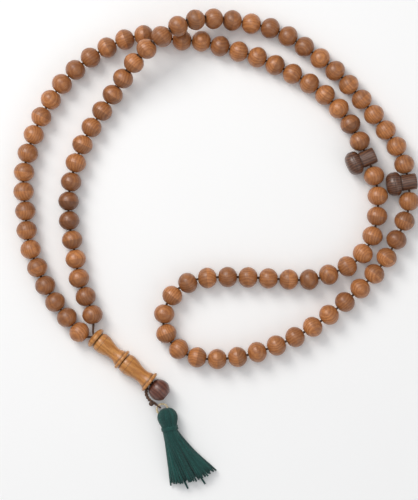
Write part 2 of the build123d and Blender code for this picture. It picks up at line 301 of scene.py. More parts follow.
@dataclass(frozen=True)
class YarnFinish:
    """Spun thread; the grain layer holds length in mm, turns round the thread and a seed."""

    name: str
    light: Colour
    middle: Colour
    dark: Colour
    ply: float = 5.0
    fuzz: float = 0.3
    relief: float = 0.06 * MM

    def material(self) -> bpy.types.Material:
        """Builds slanted plies, loose fibres and uneven dye, with painted shade in the ply troughs
        and painted highlights on the fibre crests.

        Returns:
            The material.
        """
        g = Graph(self.name)
        grain = g.layer("grain", "Vector")
        tone = g.layer("tone", "Fac")
        turns = g.axis(grain, "Y")
        wobble = g.noise(grain, 0.9, 2.0)
        plies = (g.axis(grain, "X") * self.ply + turns * (2 * math.tau) + wobble * 1.5).sine()
        fibre = g.noise(g.stretched(grain, (1.2, 14.0, 5.0)), 1.0, 4.0)
        dye = g.noise(g.stretched(grain, (0.12, 0.2, 3.0)), 1.0, 2.0)
        # Partly fibre colour, partly painted shade: the colour runs from dark in the ply troughs to
        # middle on the crests, where the relief is high.
        base = g.blend((plies * 0.5 + fibre * 0.5).step(0.15, 0.85), self.dark, self.middle)
        # Painted highlight: pale flecks on the fibre crests.
        base = g.blend(fibre.step(0.52, 0.75) * 0.6, base, self.light)
        base = g.blend(dye.step(0.35, 0.7) * 0.3, base, self.dark)
        base = g.blend(tone, base, self.dark)
        roughness = 0.62 + fibre * 0.25
        plain = {"Sheen Weight": self.fuzz, "Sheen Roughness": 0.5, "Specular IOR Level": 0.3}
        return g.surface(base, roughness, plies * 0.6 + fibre * 0.4, self.relief, plain)


# ---------------------------------------------------------------------------- mesh builders


@dataclass(frozen=True)
class Ring:
    """One ring of a turned profile, in millimetres."""

    along: float
    radius: float
    sharp: bool = False
    # Painted shade drawn at this ring, 0 to 1.
    shade: float = 0.0


def arc(a: Spot, b: Spot, c: Spot, steps: int) -> list[Spot]:
    """Points of the circle arc from a through b to c, both ends kept.

    Args:
        a: Start.
        b: Point the arc passes through.
        c: End.
        steps: Number of equal steps.

    Returns:
        The points, steps + 1 of them.
    """
    (ax, ay), (bx, by), (cx, cy) = a, b, c
    turn = 2 * (ax * (by - cy) + bx * (cy - ay) + cx * (ay - by))
    far_a, far_b, far_c = ax**2 + ay**2, bx**2 + by**2, cx**2 + cy**2
    ux = (far_a * (by - cy) + far_b * (cy - ay) + far_c * (ay - by)) / turn
    uy = (far_a * (cx - bx) + far_b * (ax - cx) + far_c * (bx - ax)) / turn
    radius = math.hypot(ax - ux, ay - uy)
    angles = [math.atan2(y - uy, x - ux) for x, y in (a, b, c)]
    sweep = (angles[2] - angles[0]) % math.tau
    if (angles[1] - angles[0]) % math.tau > sweep:
        sweep -= math.tau
    return [
        (
            ux + radius * math.cos(angles[0] + sweep * i / steps),
            uy + radius * math.sin(angles[0] + sweep * i / steps),
        )
        for i in range(steps + 1)
    ]


def rings(points: Sequence[Spot], shade: float = 0.0) -> list[Ring]:
    """Plain rings at profile points, all with one amount of painted shade."""
    return [Ring(x, r, False, shade) for x, r in points]


class Shape:
    """Collects vertices, faces and the layers the finishes read, then makes one mesh object."""

    def __init__(self) -> None:
        """Starts with nothing."""
        self.points: list[Vector] = []
        self.faces: list[tuple[int, ...]] = []
        self.grain: list[Point] = []
        self.tone: list[float] = []
        self.shade: list[float] = []
        self.sharp: set[tuple[int, int]] = set()

    def vertex(self, point: Vector, grain: Point, tone: float, shade: float) -> int:
        """Adds a vertex.

        Args:
            point: Its place in millimetres.
            grain: Its place in the grain of the piece.
            tone: How dark the piece is, 0 to 1.
            shade: Painted shade, how much darker it is drawn in a groove, a bore or where pieces
                meet, 0 to 1.

        Returns:
            The vertex's number.
        """
        self.points.append(point)
        self.grain.append(grain)
        self.tone.append(tone)
        self.shade.append(shade)
        return len(self.points) - 1

    def lathe(
        self,
        profile: Sequence[Ring],
        place: Matrix,
        tone: float = 0.0,
        offset: Point = (0.0, 0.0, 0.0),
        sides: int = 40,
        wobble: Callable[[float, float], float] = lambda along, angle: 1.0,
    ) -> None:
        """Turns a closed profile about the first axis of a place.

        Args:
            profile: Rings in order; the last joins the first.
            place: Local frame in millimetres, turned about its x axis.
            tone: How dark the piece is, 0 to 1.
            offset: Shift of the grain, so that no two pieces match.
            sides: Vertices in each ring.
            wobble: Radius factor at a station and angle.
        """
        rows = []
        for ring in profile:
            row = []
            for i in range(sides):
                angle = math.tau * i / sides
                r = ring.radius * wobble(ring.along, angle)
                local = Vector((ring.along, r * math.cos(angle), r * math.sin(angle)))
                grain = tuple(local[k] + offset[k] for k in range(3))
                row.append(self.vertex(place @ local, grain, tone, ring.shade))
            rows.append(row)
        for at, row in enumerate(rows):
            following = rows[(at + 1) % len(rows)]
            for i in range(sides):
                j = (i + 1) % sides
                self.faces.append((row[i], row[j], following[j], following[i]))
                if profile[at].sharp:
                    self.sharp.add(tuple(sorted((row[i], row[j]))))

    def tube(
        self,
        path: Sequence[Vector],
        radius: Callable[[float], float] | float,
        tone: float = 0.0,
        seed: float = 0.0,
        sides: int = 8,
        closed: bool = False,
    ) -> None:
        """Lays a round thread along a path.

        Args:
            path: Centreline in millimetres.
            radius: Radius in millimetres, or a function of the share along the path.
            tone: How dark the thread is, 0 to 1.
            seed: Third grain value, different for each thread.
            sides: Vertices round the thread.
            closed: Whether the end joins the start.
        """
        count = len(path)
        side, length, rows = Vector((0.31, 0.17, 0.94)), 0.0, []
        for i, point in enumerate(path):
            if closed:
                tangent = path[(i + 1) % count] - path[i - 1]
            else:
                tangent = path[min(i + 1, count - 1)] - path[max(i - 1, 0)]
            tangent.normalize()
            side = (side - tangent * side.dot(tangent)).normalized()
            other = tangent.cross(side)
            length += (point - path[i - 1]).length if i else 0.0
            thick = radius(i / (count - 1)) if callable(radius) else radius
            row = []
            for k in range(sides):
                turn = math.tau * k / sides
                place = point + side * (thick * math.cos(turn)) + other * (thick * math.sin(turn))
                row.append(self.vertex(place, (length, k / sides, seed), tone, 0.0))
            rows.append(row)
        for i in range(count if closed else count - 1):
            row, following = rows[i], rows[(i + 1) % count]
            for k in range(sides):
                n = (k + 1) % sides
                self.faces.append((row[k], row[n], following[n], following[k]))
        if not closed:
            self.faces.append(tuple(reversed(rows[0])))
            self.faces.append(tuple(rows[-1]))

    def mesh(self, name: str) -> bpy.types.Mesh:
        """Makes the mesh, smooth but for its sharp rings, with the layers the finishes read.

        Args:
            name: The mesh's name.

        Returns:
            The mesh, in metres.
        """
        mesh = bpy.data.meshes.new(name)
        mesh.from_pydata([tuple(p * MM) for p in self.points], [], self.faces)
        mesh.shade_smooth()
        mesh.attributes.new("grain", "FLOAT_VECTOR", "POINT").data.foreach_set(
            "vector", np.array(self.grain, np.float32).ravel()
        )
        for layer, values in (("tone", self.tone), ("shade", self.shade)):
            mesh.attributes.new(layer, "FLOAT", "POINT").data.foreach_set("value", values)
        if self.sharp:
            marks = [tuple(sorted(edge.vertices)) in self.sharp for edge in mesh.edges]
            mesh.attributes.new("sharp_edge", "BOOLEAN", "EDGE").data.foreach_set("value", marks)
        mesh.update()
        return mesh

    def piece(
        self, name: str, material: bpy.types.Material, body: str, slot: Slot, *nodes: str
    ) -> bpy.types.Object:
        """Makes the object and hands it to its body in place of its CAD nodes.

        Args:
            name: The piece's name.
            material: Its finish.
            body: CAD body it rides on.
            slot: Material slot of the record. Not used.
            nodes: CAD nodes it stands for.

        Returns:
            The linked object.
        """
        return settle(bpy.data.objects.new(name, self.mesh(name)), material, body, slot, *nodes)


def settle(
    obj: bpy.types.Object, material: bpy.types.Material, body: str, slot: Slot, *nodes: str
) -> bpy.types.Object:
    """Links an object, dresses it and lets it ride on a CAD body in place of CAD nodes.

    Args:
        obj: The object.
        material: Its finish.
        body: Name of the CAD body it rides on.
        slot: Material slot of the record. Not used.
        nodes: CAD nodes it stands for.

    Returns:
        The object.
    """
    if obj.name not in bpy.context.scene.collection.objects:
        bpy.context.scene.collection.objects.link(obj)
    obj.data.materials.append(material)
    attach(obj, body)
    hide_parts(*nodes)
    LOG.info("piece %s rides on %s for %s", obj.name, body, ", ".join(nodes))
    return obj


def route_curve(name: str, points: Sequence[Point], radius: float) -> bpy.types.Object:
    """A round cord along one NURBS spline.

    Args:
        name: The object's name.
        points: Control points in millimetres.
        radius: The cord's radius in millimetres, 0 for a bare line.

    Returns:
        The linked curve object.
    """
    curve = bpy.data.curves.new(name, "CURVE")
    curve.dimensions = "3D"
    curve.resolution_u = 8
    curve.bevel_depth = radius * MM
    curve.bevel_resolution = 3
    curve.use_fill_caps = True
    spline = curve.splines.new("NURBS")
    spline.points.add(len(points) - 1)
    for control, point in zip(spline.points, points):
        control.co = (*(c * MM for c in point), 1.0)
    spline.order_u = 3
    spline.use_endpoint_u = True
    obj = bpy.data.objects.new(name, curve)
    bpy.context.scene.collection.objects.link(obj)
    return obj


def line_points(points: Sequence[Point]) -> list[Vector]:
    """Reads points along a NURBS route.

    Args:
        points: Control points in millimetres.

    Returns:
        Points along it, in millimetres.
    """
    bare = route_curve("route_line", points, 0.0)
    bpy.context.view_layer.update()
    mesh = bpy.data.meshes.new_from_object(bare)
    found = [v.co / MM for v in mesh.vertices]
    bpy.data.objects.remove(bare)
    bpy.data.meshes.remove(mesh)
    return found


# ---------------------------------------------------------------------------- layout


@dataclass(frozen=True)
class LeaderFrame:
    """Frame of the leader on the table: along its axis, across it, and up, in millimetres."""

    mouth_x: float = -46.9
    mouth_y: float = -33.1
    height: float = 4.3
    angle: float = -39.3
    cord_side: float = -5.0
    cord_height: float = -0.5

    def point(self, along: float, across: float, up: float = 0.0) -> Vector:
        """World point of a station of the leader.

        Args:
            along: Distance from the mouth down the leader.
            across: Distance to the side of its axis.
            up: Height over its axis.

        Returns:
            The point in millimetres.
        """
        c, s = math.cos(math.radians(self.angle)), math.sin(math.radians(self.angle))
        x = self.mouth_x + along * c - across * s
        y = self.mouth_y + along * s + across * c
        return Vector((x, y, self.height + up))

    def cord_point(self, along: float) -> Vector:
        """World point of a station of the tassel's cord, beside the end bead."""
        return self.point(along, self.cord_side, self.cord_height)

    def place(self) -> Matrix:
        """The leader's frame as a matrix, x down its axis."""
        turn = Matrix.Rotation(math.radians(self.angle), 4, "Z")
        return Matrix.Translation((self.mouth_x, self.mouth_y, self.height)) @ turn


@dataclass
class StringLoop:
    """The string through all the beads, from the leader round the loop and back to it."""

    leader: LeaderFrame
    diameter: float = 0.9
    spacing: float = 1.0
    bead_radius: float = 4.0
    laid_length: float = 768.8
    entry: float = 0.1
    inside: float = 1.5

    first_third: tuple[Point, ...] = (
        (-46.9, -31.6, 0.2), (-46.6, -29.2, 0.1), (-46.7, -24.0, 0), (-52.2, -13.2, 0),
        (-53.5, -2.6, 0), (-55.9, 8.6, 0), (-56.4, 19.2, 0), (-54.2, 30.8, 0),
        (-50.1, 42.2, 0), (-43.4, 52.4, 0), (-37.6, 61.2, 1.1), (-30.6, 71.3, 5.6),
        (-23.4, 78.2, 8.4), (-16.6, 83.0, 8.7), (-7.6, 87.2, 6.0), (2.2, 87.4, 1.6),
        (12.4, 86.1, 0), (23.4, 83.6, 0), (35.0, 76.3, 0), (46.6, 67.2, 0),
        (56.6, 55.8, 0), (65.0, 45.0, 0.1), (70.8, 36.2, 0.3),
    )  # fmt: skip
    marker_two: Point = (73.6, 25.4, 0.7)
    second_third: tuple[Point, ...] = (
        (73.9, 15.6, 0.3), (70.2, 5.8, 0), (64.2, -5.4, 0), (55.8, -14.8, 0),
        (45.4, -23.5, 0), (34.8, -31.6, 0), (22.0, -37.6, 0), (8.6, -41.6, 0),
        (-3.2, -42.4, 0), (-12.3, -40.3, 0), (-19.0, -34.0, 0), (-20.6, -25.5, 0),
        (-16.9, -17.1, 0), (-10.0, -12.1, 0), (-2.6, -10.9, 0), (9.4, -10.7, 0),
        (24.0, -11.6, 0), (37.0, -12.2, 0), (46.6, -8.6, 0), (54.4, -4.6, 0),
        (59.6, 3.2, 0), (61.8, 12.6, 0), (61.9, 21.8, 0.2), (60.2, 28.6, 0.5),
    )  # fmt: skip
    marker_one: Point = (57.7, 34.6, 0.7)
    last_third: tuple[Point, ...] = (
        (54.6, 41.8, 0.4), (48.8, 51.8, 0), (39.6, 60.8, 0), (27.4, 67.8, 0),
        (14.6, 73.7, 0), (3.6, 76.4, 0), (-5.2, 79.6, 0), (-14.4, 79.1, 0),
        (-25.2, 82.2, 0), (-36.0, 79.6, 0), (-48.0, 73.2, 0), (-58.6, 63.6, 0),
        (-66.6, 51.0, 0), (-71.6, 37.6, 0), (-73.8, 26.0, 0), (-72.4, 13.6, 0),
        (-72.1, 3.8, 0), (-67.8, -8.2, 0), (-62.8, -18.6, 0), (-56.6, -26.2, 0),
        (-52.6, -32.0, 0), (-49.8, -33.7, 0.1),
    )  # fmt: skip

    def controls(self) -> list[Point]:
        """Control points of the whole route in millimetres.

        Returns:
            The points, from one string end to the other.
        """
        half = self.spacing / 2
        laid = [*self.first_third, self.marker_two, *self.second_third]
        laid += [self.marker_one, *self.last_third]
        return [
            tuple(self.leader.point(self.inside, half)),
            tuple(self.leader.point(self.entry, half)),
            *((x, y, self.bead_radius + lift) for x, y, lift in laid),
            tuple(self.leader.point(self.entry, -half)),
            tuple(self.leader.point(self.inside, -half)),
        ]

    def build(self, material: bpy.types.Material) -> list[Vector]:
        """Args:
            material: The cord's finish.

        Returns:
            Points read along the string, in millimetres.
        """
        points = self.controls()
        cord = route_curve("string_cord", points, self.diameter / 2)
        settle(cord, material, Body.STRING.value, Slot.STRING, "string")
        [c * MM for c in points[0]]
        return line_points(points)


# ---------------------------------------------------------------------------- beads


@dataclass
class BeadRun:
    """The ninety-nine turned beads, one object for each CAD bead node."""

    line: list[Vector]
    length: float = 6.95
    diameter: float = 8.0
    end_diameter: float = 2.6
    bore_diameter: float = 2.0
    bulge: float = 0.84
    step_width: float = 0.14
    dark_beads: tuple[int, ...] = (6, 7)
    dark_tone: float = 0.62
    # Painted shade on one flank of each bead, one value picked per bead.
    flank_shades: tuple[float, ...] = (0.1, 0.2, 0.32)
    end_share: float = 0.44
    finish: WoodFinish = WoodFinish(
        "bead wood", tint("cf8a50"), tint("a26232"), tint("4e2814"), ring_pitch=1.0, ring_share=0.3
    )

    def profile(self, split: float) -> list[Ring]:
        """Two bulged flanks that meet in a fine ridge, with painted shade in the bore, at the ends
        where beads meet and on the first flank.

        Args:
            split: Painted shade on the first flank, how much darker it is drawn than the second, 0
                to 1.

        Returns:
            The closed profile.
        """
        half, ridge, end, bore = (
            self.length / 2, self.diameter / 2, self.end_diameter / 2, self.bore_diameter / 2,
        )  # fmt: skip
        mid = (ridge + end) / 2 + self.bulge
        left = arc((-half, end), (-half / 2, mid), (0.0, ridge), 9)
        right = arc((0.0, ridge), (half / 2, mid), (half, end), 9)
        return [
            # Painted shade: the bore and the ends where beads meet are drawn darker, and the first
            # flank by split.
            Ring(-half, bore, True, 0.9),
            Ring(-half, end, True, 0.55),
            *rings(left[1:-1], split),
            Ring(-self.step_width, ridge - 0.02, False, split),
            Ring(0.0, ridge, True, 0.0),
            *rings(right[1:-1], 0.0),
            Ring(half, end, True, 0.55),
            Ring(half, bore, True, 0.9),
        ]

    def centres(self, node: str) -> list[tuple[int, Vector, Vector]]:
        """Where each bead of a CAD node sits.

        Args:
            node: The CAD node's name.

        Returns:
            For each bead its station on the line, centre and axis, in string order.
        """
        mesh = frame["nodes"][node].data
        co = np.empty(len(mesh.vertices) * 3)
        mesh.vertices.foreach_get("co", co)
        co = co.reshape(-1, 3) / MM
        _, same = np.unique(np.round(co, 3), axis=0, return_inverse=True)
        same = same.ravel()
        edges = np.empty(len(mesh.edges) * 2, np.int64)
        mesh.edges.foreach_get("vertices", edges)
        pairs = same[edges].reshape(-1, 2)
        label, before = np.arange(same.max() + 1), None
        while before is None or not np.array_equal(before, label):
            before = label.copy()
            low = label[pairs].min(axis=1)
            np.minimum.at(label, pairs[:, 0], low)
            np.minimum.at(label, pairs[:, 1], low)
        route = np.array(self.line)
        found = []
        near_end = self.end_share * self.length
        for island in np.unique(label):
            own = co[label[same] == island]
            centre = (own.min(axis=0) + own.max(axis=0)) / 2
            at = int(np.argmin(np.linalg.norm(route - centre, axis=1)))
            ahead = route[min(at + 2, len(route) - 1)] - route[max(at - 2, 0)]
            run = (own - centre) @ (ahead / np.linalg.norm(ahead))
            rear, front = own[run < -near_end].mean(axis=0), own[run > near_end].mean(axis=0)
            found.append((at, Vector(centre), Vector(front - rear).normalized()))
        return sorted(found, key=lambda spot: spot[0])

    def build(self) -> None:
        """Makes every bead with its own tone, grain and slight unevenness."""
        wood = self.finish.material()
        names = sorted(n for n in frame["nodes"] if n.startswith("bead"))
        for name in names:
            shape = Shape()
            number = int(name.split("_")[1])
            for at, (_, centre, axis) in enumerate(self.centres(name)):
                chance = random.Random(number + at)
                turn = axis.to_track_quat("X", "Z").to_matrix().to_4x4()
                spin = Matrix.Rotation(chance.uniform(0, math.tau), 4, "X")
                tone = 0.5 * chance.random() ** 1.6
                if number + at in self.dark_beads:
                    tone = self.dark_tone
                shape.lathe(
                    self.profile(chance.choice(self.flank_shades)),
                    Matrix.Translation(centre) @ turn @ spin,
                    tone,
                    tuple(chance.uniform(-90, 90) for _ in range(3)),
                    wobble=self.unevenness(chance),
                )
            shape.piece(f"{name}_turned", wood, f"{name}_body", Slot.BEAD, name)

    def unevenness(self, chance: random.Random) -> Callable[[float, float], float]:
        """A slightly out-of-round bead, never larger than its size.

        Args:
            chance: The bead's own random numbers.

        Returns:
            Radius factor at a station and angle.
        """
        lobes, phase = chance.choice((2, 3)), chance.uniform(0, math.tau)
        depth, slant = chance.uniform(0.004, 0.014), chance.uniform(-0.012, 0.012)

        def factor(along: float, angle: float) -> float:
            """Radius factor between about 0.95 and 1."""
            swell = depth * (1 + math.cos(lobes * angle + phase)) / 2
            return 1.0 - swell - abs(slant) + slant * along / (self.length / 2)

        return factor


@dataclass
class Marker:
    """A turned peg on the string: a stem with a bun-shaped head on one side."""

    name: str
    side: int
    stem_diameter: float = 6.1
    stem_back: float = 3.2
    neck: float = 2.9
    head_diameter: float = 9.1
    head_thickness: float = 5.5
    bore_diameter: float = 2.0
    edge: float = 0.5
    widest: float = 0.45
    face: float = 0.4
    tone: float = 0.15

    def profile(self) -> list[Ring]:
        """Stem, groove under the head, head with a turned ring, and its outer face, with painted
        shade in the middle of both ends, in the groove and in the turned ring.

        Returns:
            The closed profile, from the middle of the back to the middle of the face.
        """
        stem, head, edge = self.stem_diameter / 2, self.head_diameter / 2, self.edge
        middle = self.neck + self.widest * self.head_thickness
        end, face = self.neck + self.head_thickness, self.face * head
        back = -self.stem_back
        corner = arc((back, stem - edge), (back + 0.15, stem - 0.15), (back + edge, stem), 4)
        under = arc((self.neck, stem), (self.neck + 0.7, head - 0.45), (middle, head), 9)
        over = arc((middle, head), (end - 0.85, head - 0.85), (end, face), 10)
        # Painted shade: the shade values darken the end dimples, the groove under the head and the
        # turned ring.
        return [
            Ring(back, 0.02, False, 0.3),
            Ring(back, 0.45, True, 0.45),
            Ring(back + 0.12, 0.6, True, 0.0),
            Ring(back, 0.75, True, 0.0),
            Ring(back, stem - edge),
            *rings(corner[1:]),
            Ring(-1.9, stem),
            Ring(self.neck - 0.55, stem, True),
            Ring(self.neck - 0.3, stem - 0.16, False, 0.6),
            Ring(self.neck - 0.05, stem, True, 0.3),
            *rings(under[1:-1]),
            Ring(middle - 0.12, head, True),
            Ring(middle, head - 0.1, False, 0.6),
            Ring(middle + 0.12, head - 0.01, True),
            *rings(over[1:-1]),
            Ring(end, face, True),
            Ring(end, 0.75, True),
            Ring(end - 0.12, 0.6, True, 0.4),
            Ring(end, 0.45, True),
            Ring(end, 0.02, False, 0.3),
        ]

    def build(self, wood: bpy.types.Material) -> None:
        """Turns the peg about the axis across its CAD bore and bores it for the string.

        Args:
            wood: The peg's finish.
        """
        joint = next(j for j in frame["joints"] if j["name"] == f"{self.name}_turn")
        up = Vector((0, 0, 1))
        x = (up.cross(Vector(joint["axis"])) * self.side).normalized()
        y = up.cross(x).normalized()
        place = Matrix((x, y, x.cross(y))).transposed().to_4x4()
        place.translation = Vector(joint["pos_m"]) / MM
        chance = random.Random(self.name)
        grain = tuple(chance.uniform(-90, 90) for _ in range(3))
        shape = Shape()
        shape.lathe(self.profile(), place, self.tone, grain, 56)
        peg = shape.piece(f"{self.name}_turned", wood, f"{self.name}_body", Slot.MARKER, self.name)
        self.bore(peg, place)

    def bore(self, peg: bpy.types.Object, place: Matrix) -> None:
        """Cuts the string's bore across the stem.

        Args:
            peg: The turned peg.
            place: The peg's frame in millimetres.
        """
        r, reach = self.bore_diameter / 2, self.stem_diameter
        tool = Shape()
        across = place @ Matrix.Rotation(math.pi / 2, 4, "Z")
        walls = [Ring(-reach, 0.01), Ring(-reach, r, True), Ring(reach, r, True), Ring(reach, 0.01)]
        tool.lathe(walls, across, 0.3, sides=24)
        cutter = bpy.data.objects.new("bore_cutter", tool.mesh("bore_cutter"))
        bpy.context.scene.collection.objects.link(cutter)
        cut = peg.modifiers.new("bore", "BOOLEAN")
        cut.operation, cut.solver, cut.object = "DIFFERENCE", "EXACT", cutter
        bpy.context.view_layer.update()
        graph = bpy.context.evaluated_depsgraph_get()
        bored = bpy.data.meshes.new_from_object(peg.evaluated_get(graph), depsgraph=graph)
        peg.modifiers.remove(cut)
        peg.data = bored
        bpy.data.objects.remove(cutter)


@dataclass
class Leader:
    """Cap, two vase beads and the dark end bead, all turned about the leader's axis."""

    axes: LeaderFrame
    bore: float = 1.3
    cap_thickness: float = 2.3
    cap_diameter: float = 8.2
    cap_flare: float = 0.4
    rim_width: float = 1.2
    line_width: float = 0.16
    end_centre: float = 32.7
    end_diameter: float = 8.2
    end_flat: float = 2.0
    knot_recess: float = 1.7
    knot_depth: float = 3.2
    golden: WoodFinish = WoodFinish(
        "leader wood", tint("d39550"), tint("b06e2c"), tint("643a18"), 1.9, 0.35, 0.5
    )
    brown: WoodFinish = WoodFinish(
        "end bead wood", tint("7a4a38"), tint("54291e"), tint("2c140f"), 1.2, 0.5, 0.55
    )

    def cap(self) -> list[Ring]:
        """Domed disc with a flared mouth and a turned line, with painted shade in the bore, the
        mouth, the line and at the back edge.

        Returns:
            The closed profile.
        """
        r, flare, end, rim = self.cap_diameter / 2, self.cap_flare, self.cap_thickness, 1.15
        dome = arc((0.0, self.bore + flare), (0.45, 0.8 * r), (rim, r), 8)
        back = arc((rim, r), (0.8 * end, r - 0.08), (end, r - 0.5), 6)
        # Painted shade: the shade values darken the bore, the mouth, the turned line and the back
        # edge.
        return [
            Ring(flare, self.bore, True, 0.9),
            Ring(0.0, self.bore + flare, True, 0.5),
            *rings(dome[1:4]),
            Ring(dome[4][0], dome[4][1], True),
            Ring(dome[4][0] + 0.14, dome[4][1] + 0.02, False, 0.6),
            *rings(dome[5:]),
            *rings(back[1:-1]),
            Ring(end, r - 0.5, True, 0.7),
            Ring(end, self.bore, True, 0.9),
        ]

    def vase(
        self, start: float, length: float, sizes: tuple[float, float, float, float], dish: float
    ) -> list[Ring]:
        """Vase profile, with painted shade in the bore, at the top edge, in the turned line, under
        the lip, at the end and in the dished end.

        Args:
            start: Where it starts along the leader.
            length: Its length.
            sizes: Top, belly, waist and flange diameters.
            dish: Depth of the dished end face.

        Returns:
            The closed profile.
        """
        top, belly, waist, flange = (s / 2 for s in sizes)
        end, thick, line = start + length, self.rim_width, self.line_width
        lip = end - thick
        shoulder = flange - 0.5
        stations = (start, start + 0.27 * length, start + 0.7 * length, lip)
        curve = np.polyfit(np.array(stations) - start, (top, belly, waist, shoulder), 3)
        body = [(x, float(np.polyval(curve, x - start))) for x in np.linspace(start, lip, 25)]
        rim = arc((lip, shoulder), (lip + 0.55 * thick, flange), (end, shoulder), 8)
        # Painted shade: the shade values darken the bore, the top edge, the turned line, the lip
        # and the dished end.
        return [
            Ring(start, self.bore, True, 0.9),
            Ring(start, top - 0.25, False, 0.6),
            Ring(start + 0.22, top, True, 0.15),
            *rings(body[2:5]),
            Ring(body[5][0] - line, body[5][1], True),
            Ring(body[5][0], body[5][1] - 0.14, False, 0.5),
            Ring(body[5][0] + line, body[5][1], True),
            *rings(body[6:-2]),
            Ring(lip - 0.12, shoulder - 0.28, True, 0.65),
            Ring(lip, shoulder, True, 0.25),
            *rings(rim[1:-1]),
            Ring(end, shoulder, True, 0.55),
            Ring(end - dish, self.bore, True, 0.95),
        ]

    def last_bead(self) -> list[Ring]:
        """Round bead with flat ends and a recess for the string's knot, with painted shade in the
        bore, on the flat ends, in the ridge line and in the recess.

        Returns:
            The closed profile.
        """
        r, flat, recess = self.end_diameter / 2, self.end_flat, self.knot_recess
        half, c, crest, line = math.sqrt(r**2 - flat**2), self.end_centre, r - 0.005, 0.12
        floor = c + half - self.knot_depth
        front = arc((c - half, flat), (c - r * 0.6, r * 0.8), (c - line, crest), 9)
        rear = arc((c + line, crest), (c + r * 0.6, r * 0.8), (c + half, flat), 9)
        # Painted shade: the shade values darken the bore, the flat ends, the ridge line and the
        # knot recess.
        return [
            Ring(c - half, self.bore, True, 0.8),
            Ring(c - half, flat, True, 0.4),
            *rings(front[1:-1]),
            Ring(c - line, crest, True),
            Ring(c, r - 0.09, False, 0.5),
            Ring(c + line, crest, True),
            *rings(rear[1:-1]),
            Ring(c + half, flat, True, 0.4),
            Ring(c + half, recess, True, 0.6),
            Ring(floor, recess, True, 0.9),
            Ring(floor, self.bore, True, 0.9),
        ]

    def build(self) -> None:
        """Makes the four turned pieces."""
        golden, brown = self.golden.material(), self.brown.material()
        upper = self.vase(2.4, 12.6, (6.3, 7.3, 5.0, 8.4), 0.0)
        lower = self.vase(15.1, 13.4, (6.6, 7.5, 5.3, 8.6), 1.0)
        parts = (
            ("leader_cap", self.cap(), golden, Slot.LEADER, 0.1),
            ("leader_upper_vase", upper, golden, Slot.LEADER, 0.0),
            ("leader_lower_vase", lower, golden, Slot.LEADER, 0.05),
            ("end_bead", self.last_bead(), brown, Slot.END_BEAD, 0.0),
        )
        for at, (name, profile, wood, slot, tone) in enumerate(parts):
            shape = Shape()
            shape.lathe(profile, self.axes.place(), tone, (11.0 * at, 7.3 * at, 3.1), 64)
            shape.piece(f"{name}_turned", wood, f"{name}_body", slot, name)


# ---------------------------------------------------------------------------- threads


def twisted(path: Sequence[Vector], offset: float, pitch: float, start: float) -> list[Vector]:
    """One strand wound round a path.

    Args:
        path: The rope's centreline.
        offset: Distance of the strand from it.
        pitch: Length of one turn.
        start: Angle at the first point.

    Returns:
        The strand's centreline.
    """
    side, length, strand = Vector((0.2, 0.1, 0.97)), 0.0, []
    for i, point in enumerate(path):
        tangent = (path[min(i + 1, len(path) - 1)] - path[max(i - 1, 0)]).normalized()
        side = (side - tangent * side.dot(tangent)).normalized()
        other = tangent.cross(side)
        length += (point - path[i - 1]).length if i else 0.0
        angle = start + math.tau * length / pitch
        out = side * (offset * math.cos(angle)) + other * (offset * math.sin(angle))
        strand.append(point + out)
    return strand


def overhand(centre: Vector, radius: float, turn: Matrix) -> list[Vector]:
    """Closed centreline of an overhand knot pulled tight.

    Args:
        centre: The knot's centre.
        radius: Its radius to the outermost point of the centreline.
        turn: How it's turned.

    Returns:
        The centreline.
    """
    points, steps, depth = [], 72, 1.3
    for i in range(steps):
        a = math.tau * i / steps
        x, y = math.sin(a) + 2 * math.sin(2 * a), math.cos(a) - 2 * math.cos(2 * a)
        points.append(centre + turn @ (Vector((x, y, -depth * math.sin(3 * a))) * (radius / 3)))
    return points


@dataclass
class LeaderStrands:
    """The string's two ends side by side inside the leader, knotted in the end bead."""

    axes: LeaderFrame
    start: float = 1.85
    knot_at: float = 34.4
    radius: float = 0.45
    spacing: float = 1.0
    knot_radius: float = 0.95
    knot_thread: float = 0.42

    def build(self, material: bpy.types.Material) -> None:
        """Lays both strands and the knot.

        Args:
            material: The string's finish.
        """
        shape = Shape()
        for at, across in enumerate((self.spacing / 2, -self.spacing / 2)):
            stations = np.linspace(self.start, self.knot_at, 40)
            path = [self.axes.point(float(s), across) for s in stations]
            shape.tube(path, self.radius, seed=at, sides=10)
        centre, turn = self.axes.point(self.knot_at, 0), self.axes.place().to_3x3()
        knot = overhand(centre, self.knot_radius, turn)
        shape.tube(knot, self.knot_thread, 0.1, 2.0, 10, True)
        body = Body.STRANDS.value
        shape.piece("leader_strands_knotted", material, body, Slot.STRING, "leader_strings")


